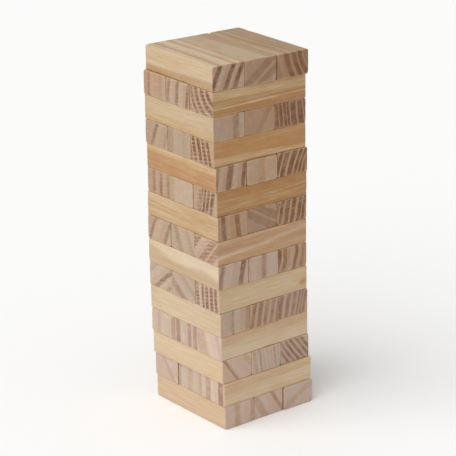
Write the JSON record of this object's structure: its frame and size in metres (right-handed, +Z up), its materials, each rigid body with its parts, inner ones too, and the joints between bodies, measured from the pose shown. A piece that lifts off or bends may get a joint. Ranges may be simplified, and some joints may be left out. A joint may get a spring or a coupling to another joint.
{
  "type": "tumbling tower",
  "caption": "Block-stacking tower game of loose timber blocks, three to a layer and each layer turned a quarter, whose blocks slide out lengthwise",
  "frame": {"origin": "on the ground, under the middle of the tower's footprint", "axes": "+Z up the tower; the blocks of odd layers lie along Y and those of even layers along X; -Y is the front, where the odd layers show their sawn ends"},
  "size_m": [0.1609, 0.1574, 0.4964],
  "materials": {
    "pine_pale": "planed pine, bare",
    "pine_honey": "planed pine, bare",
    "pine_rosy": "planed pine, bare"
  },
  "bodies": {
    "block_01_left": {"block_01_left": "pine_rosy"},
    "block_01_middle": {"block_01_middle": "pine_rosy"},
    "block_01_right": {"block_01_right": "pine_rosy"},
    "block_02_front": {"block_02_front": "pine_honey"},
    "block_02_middle": {"block_02_middle": "pine_honey"},
    "block_02_back": {"block_02_back": "pine_honey"},
    "block_03_left": {"block_03_left": "pine_pale"},
    "block_03_middle": {"block_03_middle": "pine_pale"},
    "block_03_right": {"block_03_right": "pine_pale"},
    "block_04_front": {"block_04_front": "pine_honey"},
    "block_04_middle": {"block_04_middle": "pine_honey"},
    "block_04_back": {"block_04_back": "pine_honey"},
    "block_05_left": {"block_05_left": "pine_pale"},
    "block_05_middle": {"block_05_middle": "pine_pale"},
    "block_05_right": {"block_05_right": "pine_pale"},
    "block_06_front": {"block_06_front": "pine_pale"},
    "block_06_middle": {"block_06_middle": "pine_pale"},
    "block_06_back": {"block_06_back": "pine_pale"},
    "block_07_left": {"block_07_left": "pine_pale"},
    "block_07_middle": {"block_07_middle": "pine_pale"},
    "block_07_right": {"block_07_right": "pine_pale"},
    "block_08_front": {"block_08_front": "pine_rosy"},
    "block_08_middle": {"block_08_middle": "pine_rosy"},
    "block_08_back": {"block_08_back": "pine_rosy"},
    "block_09_left": {"block_09_left": "pine_honey"},
    "block_09_middle": {"block_09_middle": "pine_honey"},
    "block_09_right": {"block_09_right": "pine_honey"},
    "block_10_front": {"block_10_front": "pine_honey"},
    "block_10_middle": {"block_10_middle": "pine_honey"},
    "block_10_back": {"block_10_back": "pine_honey"},
    "block_11_left": {"block_11_left": "pine_honey"},
    "block_11_middle": {"block_11_middle": "pine_honey"},
    "block_11_right": {"block_11_right": "pine_honey"},
    "block_12_front": {"block_12_front": "pine_honey"},
    "block_12_middle": {"block_12_middle": "pine_honey"},
    "block_12_back": {"block_12_back": "pine_honey"},
    "block_13_left": {"block_13_left": "pine_pale"},
    "block_13_middle": {"block_13_middle": "pine_pale"},
    "block_13_right": {"block_13_right": "pine_pale"},
    "block_14_front": {"block_14_front": "pine_honey"},
    "block_14_middle": {"block_14_middle": "pine_honey"},
    "block_14_back": {"block_14_back": "pine_honey"},
    "block_15_left": {"block_15_left": "pine_pale"},
    "block_15_middle": {"block_15_middle": "pine_pale"},
    "block_15_right": {"block_15_right": "pine_pale"}
  },
  "joints": [
    {"name": "slide_01_left", "type": "slide", "parent": "block_01_middle", "child": "block_01_left", "axis": [-0.0052, 1, 0], "range_m": [-0.16, 0.16]},
    {"name": "slide_01_right", "type": "slide", "parent": "block_01_middle", "child": "block_01_right", "axis": [-0.0052, 1, 0], "range_m": [-0.16, 0.16]},
    {"name": "slide_02_front", "type": "slide", "parent": "block_01_middle", "child": "block_02_front", "axis": [1, 0.0035, 0], "range_m": [-0.16, 0.16]},
    {"name": "slide_02_middle", "type": "slide", "parent": "block_01_middle", "child": "block_02_middle", "axis": [1, 0.0035, 0], "range_m": [-0.16, 0.16]},
    {"name": "slide_02_back", "type": "slide", "parent": "block_01_middle", "child": "block_02_back", "axis": [1, 0.0035, 0], "range_m": [-0.16, 0.16]},
    {"name": "slide_03_left", "type": "slide", "parent": "block_01_middle", "child": "block_03_left", "axis": [-0.014, 0.9999, 0], "range_m": [-0.16, 0.16]},
    {"name": "slide_03_middle", "type": "slide", "parent": "block_01_middle", "child": "block_03_middle", "axis": [-0.014, 0.9999, 0], "range_m": [-0.16, 0.16]},
    {"name": "slide_03_right", "type": "slide", "parent": "block_01_middle", "child": "block_03_right", "axis": [-0.014, 0.9999, 0], "range_m": [-0.16, 0.16]},
    {"name": "slide_04_front", "type": "slide", "parent": "block_01_middle", "child": "block_04_front", "axis": [0.9998, 0.0209, 0], "range_m": [-0.16, 0.16]},
    {"name": "slide_04_middle", "type": "slide", "parent": "block_01_middle", "child": "block_04_middle", "axis": [0.9998, 0.0209, 0], "range_m": [-0.16, 0.16]},
    {"name": "slide_04_back", "type": "slide", "parent": "block_01_middle", "child": "block_04_back", "axis": [0.9998, 0.0209, 0], "range_m": [-0.16, 0.16]},
    {"name": "slide_05_left", "type": "slide", "parent": "block_01_middle", "child": "block_05_left", "axis": [-0.0157, 0.9999, 0], "range_m": [-0.16, 0.16]},
    {"name": "slide_05_middle", "type": "slide", "parent": "block_01_middle", "child": "block_05_middle", "axis": [-0.0157, 0.9999, 0], "range_m": [-0.16, 0.16]},
    {"name": "slide_05_right", "type": "slide", "parent": "block_01_middle", "child": "block_05_right", "axis": [-0.0157, 0.9999, 0], "range_m": [-0.16, 0.16]},
    {"name": "slide_06_front", "type": "slide", "parent": "block_01_middle", "child": "block_06_front", "axis": [0.9999, 0.0105, 0], "range_m": [-0.16, 0.16]},
    {"name": "slide_06_middle", "type": "slide", "parent": "block_01_middle", "child": "block_06_middle", "axis": [0.9999, 0.0105, 0], "range_m": [-0.16, 0.16]},
    {"name": "slide_06_back", "type": "slide", "parent": "block_01_middle", "child": "block_06_back", "axis": [0.9999, 0.0105, 0], "range_m": [-0.16, 0.16]},
    {"name": "slide_07_left", "type": "slide", "parent": "block_01_middle", "child": "block_07_left", "axis": [-0.0105, 0.9999, 0], "range_m": [-0.16, 0.16]},
    {"name": "slide_07_middle", "type": "slide", "parent": "block_01_middle", "child": "block_07_middle", "axis": [-0.0105, 0.9999, 0], "range_m": [-0.16, 0.16]},
    {"name": "slide_07_right", "type": "slide", "parent": "block_01_middle", "child": "block_07_right", "axis": [-0.0105, 0.9999, 0], "range_m": [-0.16, 0.16]},
    {"name": "slide_08_front", "type": "slide", "parent": "block_01_middle", "child": "block_08_front", "axis": [1, 0.0087, 0], "range_m": [-0.16, 0.16]},
    {"name": "slide_08_middle", "type": "slide", "parent": "block_01_middle", "child": "block_08_middle", "axis": [1, 0.0087, 0], "range_m": [-0.16, 0.16]},
    {"name": "slide_08_back", "type": "slide", "parent": "block_01_middle", "child": "block_08_back", "axis": [1, 0.0087, 0], "range_m": [-0.16, 0.16]},
    {"name": "slide_09_left", "type": "slide", "parent": "block_01_middle", "child": "block_09_left", "axis": [-0.0087, 1, 0], "range_m": [-0.16, 0.16]},
    {"name": "slide_09_middle", "type": "slide", "parent": "block_01_middle", "child": "block_09_middle", "axis": [-0.0087, 1, 0], "range_m": [-0.16, 0.16]},
    {"name": "slide_09_right", "type": "slide", "parent": "block_01_middle", "child": "block_09_right", "axis": [-0.0087, 1, 0], "range_m": [-0.16, 0.16]},
    {"name": "slide_10_front", "type": "slide", "parent": "block_01_middle", "child": "block_10_front", "axis": [1, 0, 0], "range_m": [-0.16, 0.16]},
    {"name": "slide_10_middle", "type": "slide", "parent": "block_01_middle", "child": "block_10_middle", "axis": [1, 0, 0], "range_m": [-0.16, 0.16]},
    {"name": "slide_10_back", "type": "slide", "parent": "block_01_middle", "child": "block_10_back", "axis": [1, 0, 0], "range_m": [-0.16, 0.16]},
    {"name": "slide_11_left", "type": "slide", "parent": "block_01_middle", "child": "block_11_left", "axis": [0.0105, 0.9999, 0], "range_m": [-0.16, 0.16]},
    {"name": "slide_11_middle", "type": "slide", "parent": "block_01_middle", "child": "block_11_middle", "axis": [0.0105, 0.9999, 0], "range_m": [-0.16, 0.16]},
    {"name": "slide_11_right", "type": "slide", "parent": "block_01_middle", "child": "block_11_right", "axis": [0.0105, 0.9999, 0], "range_m": [-0.16, 0.16]},
    {"name": "slide_12_front", "type": "slide", "parent": "block_01_middle", "child": "block_12_front", "axis": [0.9998, -0.0192, 0], "range_m": [-0.16, 0.16]},
    {"name": "slide_12_middle", "type": "slide", "parent": "block_01_middle", "child": "block_12_middle", "axis": [0.9998, -0.0192, 0], "range_m": [-0.16, 0.16]},
    {"name": "slide_12_back", "type": "slide", "parent": "block_01_middle", "child": "block_12_back", "axis": [0.9998, -0.0192, 0], "range_m": [-0.16, 0.16]},
    {"name": "slide_13_left", "type": "slide", "parent": "block_01_middle", "child": "block_13_left", "axis": [0.0175, 0.9998, 0], "range_m": [-0.16, 0.16]},
    {"name": "slide_13_middle", "type": "slide", "parent": "block_01_middle", "child": "block_13_middle", "axis": [0.0175, 0.9998, 0], "range_m": [-0.16, 0.16]},
    {"name": "slide_13_right", "type": "slide", "parent": "block_01_middle", "child": "block_13_right", "axis": [0.0175, 0.9998, 0], "range_m": [-0.16, 0.16]},
    {"name": "slide_14_front", "type": "slide", "parent": "block_01_middle", "child": "block_14_front", "axis": [0.9997, -0.0227, 0], "range_m": [-0.16, 0.16]},
    {"name": "slide_14_middle", "type": "slide", "parent": "block_01_middle", "child": "block_14_middle", "axis": [0.9997, -0.0227, 0], "range_m": [-0.16, 0.16]},
    {"name": "slide_14_back", "type": "slide", "parent": "block_01_middle", "child": "block_14_back", "axis": [0.9997, -0.0227, 0], "range_m": [-0.16, 0.16]},
    {"name": "lift_15_left", "type": "slide", "parent": "block_01_middle", "child": "block_15_left", "axis": [0, 0, 1], "range_m": [0, 0.1]},
    {"name": "lift_15_middle", "type": "slide", "parent": "block_01_middle", "child": "block_15_middle", "axis": [0, 0, 1], "range_m": [0, 0.1]},
    {"name": "lift_15_right", "type": "slide", "parent": "block_01_middle", "child": "block_15_right", "axis": [0, 0, 1], "range_m": [0, 0.1]}
  ]
}
